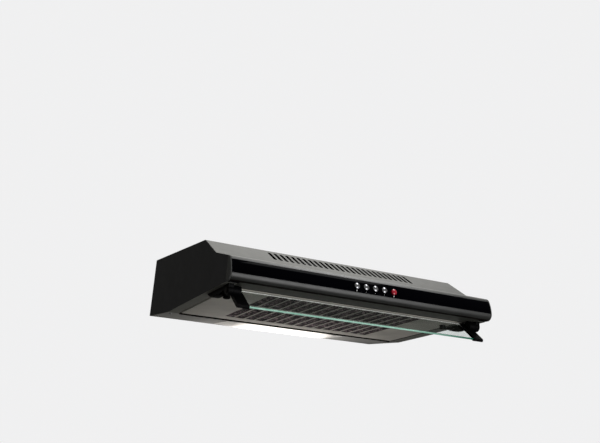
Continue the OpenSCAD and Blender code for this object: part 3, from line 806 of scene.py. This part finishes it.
def build_fascia():
    start = SLOPE_FOOT + Vector((-0.3, 0))
    inner = [
        *arc(BELLY_C, BELLY_R - WALL, BELLY_A1, STRIP_A1, 24),
        *arc(STRIP_C, STRIP_R - STRIP_T - WALL, STRIP_A1, STRIP_A0, 8),
        *arc(LIP_C, LIP_R - WALL, STRIP_A0, LEDGE_A, 20),
    ]
    profile = [start, *nose(strip_inset=STRIP_T), *inner, start + Vector((0, -WALL))]
    # The fascia's downward faces take the near-black second finish: a painted shadow line between the belly
    # and the rail.
    body = piece(
        "fascia_moulding", [prism(profile, -FASCIA_X, FASCIA_X)], "front_fascia", bevel=0.25,
        angle=40, second="painted_shade_and_pin_black", pick=lambda f: f.normal.z < -0.8,
    )
    bore_r = BUTTON_R + 0.5
    bore = lathe([(0, -9), (bore_r, -9), (bore_r, 5), (0, 5)], 40)
    subtract(body, [moved(bore, on_strip(x, BUTTON_A)) for x in BUTTON_XS])

    edge = 0.3
    path = arc(STRIP_C, STRIP_R, STRIP_A1 - edge, STRIP_A0 + edge, 22)
    run = math.radians(STRIP_A1 - edge - BUTTON_A) * STRIP_R
    holes = [circle(x, run, bore_r, 40) for x in BUTTON_XS]
    strip = folded(path, -FASCIA_X, FASCIA_X, STRIP_T - 0.05, holes)
    piece("gloss_strip", [strip], "fascia_strip", bevel=0.25, angle=40)

    foot = Vector((RIM_Y, under(RIM_Y)))
    rim = [*nose(), foot, ledge_point(RIM_Y)]
    tongue = [ledge_point(RIM_Y), foot + Vector((0, 0.3)), SLOPE_FOOT + Vector((-0.3, -12)), start]
    caps = [
        prism(rim, FASCIA_X + 0.1, HALF_W),
        prism(tongue, FASCIA_X + 0.1, HALF_W - CHEEK_T - 0.1),
    ]
    piece("end_cap_right", caps, "right_end_cap", bevel=0.7, segments=3, angle=40)
    piece("end_cap_left", [mirrored(s) for s in caps], "left_end_cap", bevel=0.7, segments=3, angle=40)


def build_buttons():
    crown_r = 14.0
    dome = [(r, math.sqrt(crown_r**2 - r**2) - 9.5) for r in [5.2 * i / 8 for i in range(9)]]
    edge = BUTTON_R - 0.35
    profile = dome + [
        (edge, 3.2), (BUTTON_R - 0.08, 2.9), (BUTTON_R, 2.4), (BUTTON_R, -13.6), (5.6, -14), (0, -14),
    ]
    for key, x in zip(("light", "speed_1", "speed_2", "speed_3", "stop"), BUTTON_XS):
        cap = moved(lathe(profile), on_strip(x, BUTTON_A))
        piece(f"{key}_cap", [cap], f"{key}_button", angle=50)


def build_marks():
    """Generic prints: a bulb, one to three bars, and a broad bar."""
    low, high = 0.06, 0.3

    def mark(i, solid, up=0.0):
        return moved(solid, on_strip(BUTTON_XS[i], MARK_A) @ Matrix.Translation((0, up, 0)))

    def bar(x0, y0, x1, y1):
        return plate(fillet(rectangle(x0, y0, x1, y1), 0.2), (), low, high)

    bulb = hoop([(0.5, low), (1.2, low), (1.2, high), (0.5, high)], 24)
    marks = [mark(0, bulb, 0.3), mark(0, bar(-0.65, -1.5, 0.65, -1.05))]
    for i in (1, 2, 3):
        for k in range(i):
            mid = (k - (i - 1) / 2) * 0.75
            marks.append(mark(i, bar(mid - 0.19, -0.5, mid + 0.19, 0.5)))
    marks.append(mark(4, bar(-0.9, -1.5, 0.9, 1.5)))
    piece("printed_marks", marks, "button_marks")


def screw_group(name, node, size, places):
    """Screws of one size: head radius and height, shank radius and length."""
    piece(name, [moved(cross_screw(*size), m) for m in places], node, angle=40)


def build_visor():
    for side in ("left", "right"):
        from_cad(f"visor_arm_{side}", f"{side}_visor_arm", 0.9, segments=3)
        from_cad(f"visor_foot_{side}", f"{side}_visor_bracket", 0.7, segments=3, angle=24)
    jaw_x = ARM_X - ARM_W
    glass_x = jaw_x + GLASS_GRIP - 0.2
    outline = fillet(rectangle(GLASS_U0, -glass_x, GLASS_U1, glass_x), 2.0)
    verts, faces = plate(outline, (), -GLASS_OFF - GLASS_T / 2, -GLASS_OFF + GLASS_T / 2)
    glass = moved(([Vector((v.x, v.z, v.y)) for v in verts], faces), on_visor())
    upper = (on_visor().to_3x3() @ Vector((0, 1, 0))).normalized()
    piece(
        "visor_pane", [glass], "visor_glass", bevel=0.5, flat=True, second="glass_edge",
        pick=lambda f: abs(f.normal.dot(upper)) < 0.5,
    )
    from_cad("visor_pivots", "visor_pins", 0.8, segments=3, finish="painted_shade_and_pin_black")


def build_visor_screws():
    clamp_x = ARM_X - ARM_W + GLASS_GRIP / 2
    clamp_n = -GLASS_OFF - JAW / 2
    places = [on_visor() @ Matrix.Translation((u, clamp_n, clamp_x)) @ turned(90, "X") for u in (8, 32)]
    screws = [moved(cross_screw(3, 1.5, 1.2, 1.2), m) for m in places]
    piece("clamp_screws", screws + [mirrored(s) for s in screws], "visor_clamp_screws", angle=40)
    places = [ON_UNDER @ Matrix.Translation((FOOT_X, y, SHEET)) for y in (50, 96)]
    screws = [moved(cross_screw(3.5, 1.8, 1.6, 6), m) for m in places]
    piece("foot_screws", screws + [mirrored(s) for s in screws], "visor_bracket_screws", angle=40)


def grille_holes():
    """Two rows of slots, and the two square holes of the latches."""
    half_w, half_l = ROW_SLOT_W / 2, ROW_L / 2
    xs = [(i - (ROW_COUNT - 1) / 2) * ROW_PITCH for i in range(ROW_COUNT)]
    slots = [
        fillet(rectangle(x - half_w, y - half_l, x + half_w, y + half_l), 3.0)
        for y in ROW_YS
        for x in xs
    ]
    pulls = [
        fillet(rectangle(x - 3, LATCH_Y - 3, x + 3, LATCH_Y + 8), 1.0) for x in (-LATCH_X, LATCH_X)
    ]
    return slots + pulls


def build_grille():
    """A sheet with a rounded, turned-up rim. Its thickness comes from a modifier."""
    bend = 2.0
    corners = (-GRILLE_X + bend, GRILLE_Y0 + bend, GRILLE_X - bend, GRILLE_Y1 - bend)
    outer = fillet(rectangle(*corners), 2.0, step=22)
    v, f = triangulate(outer, grille_holes())
    verts = [Vector((p.x, p.y, 0)) for p in v]
    faces = [tuple(t) for t in f]
    n = len(outer)
    sides = [(outer[i] - outer[i - 1]).normalized() for i in range(n)]
    along = [(sides[i] + sides[(i + 1) % n]).normalized() for i in range(n)]
    last = [min(range(len(v)), key=lambda i, q=q: (v[i] - q).length_squared) for q in outer]
    turns = [math.radians(a) for a in (18, 36, 54, 72, 90)]
    rows = [(bend * math.sin(t), bend * (1 - math.cos(t))) for t in turns]
    for out, z in [*rows, (bend, TRAY_H)]:
        row = list(range(len(verts), len(verts) + n))
        verts += [Vector((p.x + d.y * out, p.y - d.x * out, z)) for p, d in zip(outer, along)]
        for i in range(n):
            j = (i + 1) % n
            faces.append((last[i], last[j], row[j], row[i]))
        last = row
    solid = moved((verts, faces), ON_UNDER)
    panel = piece("grille_sheet", [solid], "grille_panel", angle=40, finish="grille_paint")
    panel.modifiers.clear()
    shell = panel.modifiers.new("thickness", "SOLIDIFY")
    shell.thickness = SHEET * MM
    shell.offset = -1.0
    shell.use_even_offset = True
    round_off(panel, 0.35, 2, 40)


def build_mat():
    """The filter mat, a felted sheet with its two front corners cut away."""
    x0, x1 = -GRILLE_X + 6, GRILLE_X - 6
    y0, y1 = GRILLE_Y0 + 6, GRILLE_Y1 - 10
    heights = (1.5 + 0.35, 6.6 - 0.4)
    nx, ny = 150, 80
    xs = [x0 + (x1 - x0) * i / nx for i in range(nx + 1)]
    ys = [y0 + (y1 - y0) * j / ny for j in range(ny + 1)]
    verts, faces, index = [], [], {}

    def at(i, j, k):
        """The vertex of a grid point, k 0 on the lower side and 1 on the upper."""
        key = (i, j, k)
        if key not in index:
            place = Vector((xs[i], ys[j], k * 40))
            lift = noise.fractal(place * 0.35, 0.8, 2.0, 3) * 0.35
            index[key] = len(verts)
            verts.append(Vector((xs[i], ys[j], heights[k] + lift)))
        return index[key]

    def filled(i, j):
        if not (0 <= i < nx and 0 <= j < ny):
            return False
        x, y = (xs[i] + xs[i + 1]) / 2, (ys[j] + ys[j + 1]) / 2
        return not (abs(x) > LATCH_X - 14 and y < LATCH_Y + 24)

    for i in range(nx):
        for j in range(ny):
            if not filled(i, j):
                continue
            a, b, c, d = (i, j), (i, j + 1), (i + 1, j + 1), (i + 1, j)
            faces.append(tuple(at(*p, 0) for p in (a, b, c, d)))
            faces.append(tuple(at(*p, 1) for p in (a, d, c, b)))
            for di, dj, p, q in ((-1, 0, a, b), (1, 0, c, d), (0, -1, d, a), (0, 1, b, c)):
                if not filled(i + di, j + dj):
                    faces.append((at(*p, 0), at(*q, 0), at(*q, 1), at(*p, 1)))
    piece("felt_mat", [moved((verts, faces), ON_UNDER)], "filter_mat", angle=60)


def build_latches():
    """Each latch: a round finger cup with a ridge in it, and a tongue behind the lip rail."""
    rim = [
        (6.4, -8.2), (7.3, -7.5), (7.5, -6.4), (6.9, -4.6), (6.6, -3.0), (6.9, -1.6), (7.4, -0.9),
        (7.2, -0.4),
    ]
    cup = lathe([(0, -6.8), (4.2, -7.2), (5.2, -8.4), *rim, (2.5, -0.4), (2.5, 3), (0, 3)], 40)
    ridge = plate(fillet(rectangle(-1.6, -5, 1.6, 5), 1.5), (), -8.4, -6.4)
    front = GRILLE_Y0 + SHEET + 0.4 - LATCH_Y
    rear = front + LATCH_Y - GRILLE_Y0 + 10
    tongue = plate(fillet(rectangle(-8, front, 8, rear), 1.5), (), 1.4, 3.4)
    place = ON_UNDER @ Matrix.Translation((LATCH_X, LATCH_Y, 0))
    solids = [moved(s, place) for s in (cup, ridge, tongue)]
    piece("latch_pull_right", solids, "right_grille_latch", bevel=0.3, angle=45)
    piece("latch_pull_left", [mirrored(s) for s in solids], "left_grille_latch", bevel=0.3, angle=45)


def build_hinges():
    from_cad("hinge_pins", "grille_hinge_pins", 0.4)
    from_cad("hinge_brackets", "grille_hinge_brackets", 0.5)


def build_lamp():
    """The lens: a bulged, finely ribbed lower side, and an upper side that follows it."""
    half_x, half_y, deep = 152.0, 40.0, 6.8
    nx, ny = 228, 28
    z_top = -HOOD_H - 0.1
    rib = 0.14

    def bulge(u, v):
        across = max(0.0, 1 - abs(u) ** 7)
        along = max(0.0, 1 - abs(v) ** 3.2)
        return deep * (across * along) ** 0.8

    def drop(i, j, k):
        d = bulge(2 * i / nx - 1, 2 * j / ny - 1)
        if k == 1:
            return max(0.0, d - 1.9)
        wave = rib * math.cos(2 * math.pi * i / 3) if d > 1.4 else 0.0
        return max(1.2, d - rib + wave)

    verts = [
        Vector(((2 * i / nx - 1) * half_x, SPIGOT[1] + (2 * j / ny - 1) * half_y, z_top - drop(i, j, k)))
        for k in (0, 1)
        for j in range(ny + 1)
        for i in range(nx + 1)
    ]

    def at(i, j, k):
        return (k * (ny + 1) + j) * (nx + 1) + i

    faces = []
    for j in range(ny):
        for i in range(nx):
            faces.append((at(i, j, 0), at(i, j + 1, 0), at(i + 1, j + 1, 0), at(i + 1, j, 0)))
            faces.append((at(i, j, 1), at(i + 1, j, 1), at(i + 1, j + 1, 1), at(i, j + 1, 1)))
    rim = [(i, 0) for i in range(nx)] + [(nx, j) for j in range(ny)]
    rim += [(i, ny) for i in range(nx, 0, -1)] + [(0, j) for j in range(ny, 0, -1)]
    for p, q in zip(rim, rim[1:] + rim[:1]):
        faces.append((at(*p, 0), at(*q, 0), at(*q, 1), at(*p, 1)))
    piece("lamp_lens", [(verts, faces)], "lamp_diffuser", angle=40)


def on_ring(at, r, angles):
    """Places on a circle of radius r round a point, in a level plane."""
    return [Matrix.Translation(at) @ turned(a, "Z") @ Matrix.Translation((r, 0, 0)) for a in angles]


def build_fixings():
    screw_group(
        "spigot_fixings", "spigot_screws", (3, 1.6, 1.4, 5),
        on_ring((*SPIGOT, 2), SPIGOT_R + 5.5, (45, 135, 225, 315)),
    )
    screw_group(
        "motor_fixings", "motor_screws", (4, 2.4, 2, 8), on_ring((-85, -38, -9.9), 38, (30, 150, 270)),
    )
    screw_group(
        "casing_screws", "shell_screws", (4, 1.6, 1.5, 4),
        [
            Matrix.Translation((x, y, -HOOD_H)) @ turned(180, "X")
            for x in (-287, 287)
            for y in (45, 140)
        ],
    )


def build_outlet():
    inner, outer, top = SPIGOT_R - 1.6, SPIGOT_R, 28.0
    wall = [(inner, top - 0.6), (inner + 0.5, top), (outer - 0.6, top), (outer, top - 0.8)]
    for z in (22, 16, 10):
        wall += [(outer, z + 1), (outer - 0.6, z + 0.4), (outer - 0.6, z - 0.4), (outer, z - 1)]
    wall += [(outer, 3.2), (outer + 1.2, 2.0), (outer + 9.4, 2.0), (outer + 10, 1.4)]
    wall += [(outer + 10, 0.1), (outer, 0.1), (outer, -9), (inner, -9)]
    collar = moved(hoop(wall, 96), Matrix.Translation((*SPIGOT, 0)))
    piece("duct_collar", [collar], "outlet_spigot", angle=35)
    from_cad("front_damper_flap", "front_flap", 0.25)
    from_cad("rear_damper_flap", "rear_flap", 0.25)


def build_gland():
    bore_r, nut_r = 4.5, 9.0

    def flute(t, r):
        return r - 0.35 * (0.5 + 0.5 * math.cos(16 * t)) if r > nut_r - 0.1 else r

    flange = plate(circle(0, 0, 13, 48), [circle(0, 0, 5.2, 32)], 0.05, 4.0)
    profile = [(bore_r, 4), (nut_r, 4), (nut_r, 8.5), (8.4, 10.8), (7.0, 12.0), (4.9, 12.0), (bore_r, 11.6)]
    stem = hoop([(bore_r, -14), (7.9, -14), (7.9, 0.05), (bore_r, 0.05)], 48)
    solids = [moved(s, Matrix.Translation((*GLAND, 0))) for s in (flange, hoop(profile, 96, flute), stem)]
    piece("gland_body", solids, "cable_gland", bevel=0.2, angle=45)


def dress_the_rest():
    """The CAD nodes that stay: rounded edges and a finish."""
    thin = ("impeller", "filter_wires", "inlet_guard", "inlet_ring")
    for name, obj in frame["nodes"].items():
        if obj.hide_render:
            continue
        obj.data.materials.clear()
        obj.data.materials.append(FINISH[SLOT[name]].mat)
        weld = obj.modifiers.new("weld", "WELD")
        weld.merge_threshold = WELD
        round_off(obj, 0.0 if name in thin else 0.5, 2, 35)


build_casing()
build_fascia()
build_buttons()
build_marks()
build_visor()
build_visor_screws()
build_grille()
build_mat()
build_latches()
build_hinges()
build_lamp()
build_fixings()
build_outlet()
build_gland()
dress_the_rest()

# ------------------------------------------------------------------ camera, stage and light, in metres

CAMERA_AT = Vector((-0.7989, -1.5908, -0.3043))
CAMERA_YAW, CAMERA_PITCH, CAMERA_ROLL = (math.radians(a) for a in (26.295, 13.42, 4.849))
CAMERA_LENS = 46.21
FLOOR_Z, FLOOR_R = -1.55, 9.0
FLOOR_COLOUR = (0.9, 0.895, 0.885)
BACKDROP = 0.872
LIGHT_FROM = Vector((0.28, 0.70, 0.655)).normalized()


def place_camera():
    yaw, pitch, roll = CAMERA_YAW, CAMERA_PITCH, CAMERA_ROLL
    level = Vector((math.cos(yaw), -math.sin(yaw), 0))
    heading = Vector((math.sin(yaw), math.cos(yaw), 0))
    ahead = heading * math.cos(pitch) + Vector((0, 0, math.sin(pitch)))
    upright = level.cross(ahead)
    right = level * math.cos(roll) + upright * math.sin(roll)
    up = upright * math.cos(roll) - level * math.sin(roll)
    data = bpy.data.cameras.new("camera")
    data.sensor_width, data.lens = 36.0, CAMERA_LENS
    data.clip_start, data.clip_end = 0.05, 50.0
    cam = add_object("camera", data)
    cam.matrix_world = Matrix.Translation(CAMERA_AT) @ Matrix((right, up, -ahead)).transposed().to_4x4()
    bpy.context.scene.camera = cam


def floor_finish():
    """Pale to the camera, and darker to the light that it sends back up."""
    f = Finish("floor_white")
    seen = f.node("LightPath").outputs["Is Camera Ray"]
    f.put("Base Color", f.mix(seen, scaled(FLOOR_COLOUR, 0.14), scaled(FLOOR_COLOUR, 0.3)))
    f.put("Emission Color", f.mix(f.noise(400, 3), scaled(FLOOR_COLOUR, 0.985), FLOOR_COLOUR))
    f.put("Emission Strength", f.math("MULTIPLY", seen, 0.76))
    return f.put("Roughness", 0.9).put("Specular IOR Level", 0.2)


def build_floor():
    bm = bmesh.new()
    bmesh.ops.create_circle(bm, cap_ends=True, segments=96, radius=FLOOR_R)
    mesh = bpy.data.meshes.new("stage_floor")
    bm.to_mesh(mesh)
    bm.free()
    floor = add_object("stage_floor", mesh)
    floor.location.z = FLOOR_Z
    mesh.materials.append(floor_finish().mat)


def area_light(name, at, aim, size, watts, colour=(1, 1, 1)):
    data = bpy.data.lights.new(name, "AREA")
    data.shape, data.size, data.size_y = "RECTANGLE", *size
    data.energy, data.color = watts, colour
    obj = add_object(name, data)
    obj.location = at
    obj.rotation_mode = "QUATERNION"
    obj.rotation_quaternion = (Vector(aim) - Vector(at)).to_track_quat("-Z", "Y")
    obj.visible_camera = obj.visible_transmission = False
    return obj


def build_lights():
    top = area_light("overhead", (1.1, -0.36, 2.1), (1.05, -0.36, 0), (2.2, 0.8), 25)
    top.visible_transmission = True
    area_light("front_softbox", (0.9, -2.6, -0.44), (-0.1, -0.3, -0.44), (1.4, 2.2), 28)
    # The lamp's own light, thrown back up at the underside.
    warm = (1, 0.95, 0.92)
    glow = area_light("lamp_bounce", (0.02, 0.18, -0.24), (0, -0.05, -0.1), (0.3, 0.1), 0.42, warm)
    glow.visible_glossy = False


def build_world():
    """A plain pale backdrop, with soft light that comes mostly from above and behind."""
    world = bpy.data.worlds.new("studio")
    bpy.context.scene.world = world
    world.use_nodes = True
    n = Nodes(world.node_tree)
    ray = n.node("TexCoord").outputs["Generated"]
    height = n.node("SeparateXYZ", Vector=ray).outputs["Z"]
    glow = n.span(n.dot(ray, LIGHT_FROM), 0.84, 1.0, 0.0, 1.15, smooth=True)
    dome = n.span(height, -0.05, 0.1, 0.08, 0.2, smooth=True)
    crown = n.span(height, 0.9, 1.0, 0.0, 0.5, smooth=True)
    soft = n.math("ADD", n.math("ADD", glow, dome), crown)
    rays = n.node("LightPath").outputs
    seen = n.math("MAXIMUM", rays["Is Camera Ray"], rays["Is Transmission Ray"])
    strength = n.node("Mix")
    for i, value in ((0, seen), (2, soft), (3, BACKDROP)):
        n.feed(strength.inputs[i], value)
    back = n.tree.nodes["Background"]
    n.feed(back.inputs["Color"], n.mix(seen, (1.0, 0.995, 0.945), (1.0, 1.0, 1.005)))
    n.feed(back.inputs["Strength"], strength.outputs[0])


place_camera()
build_floor()
build_world()
build_lights()
view = bpy.context.scene.view_settings
view.view_transform = "Standard"
view.look = "None"
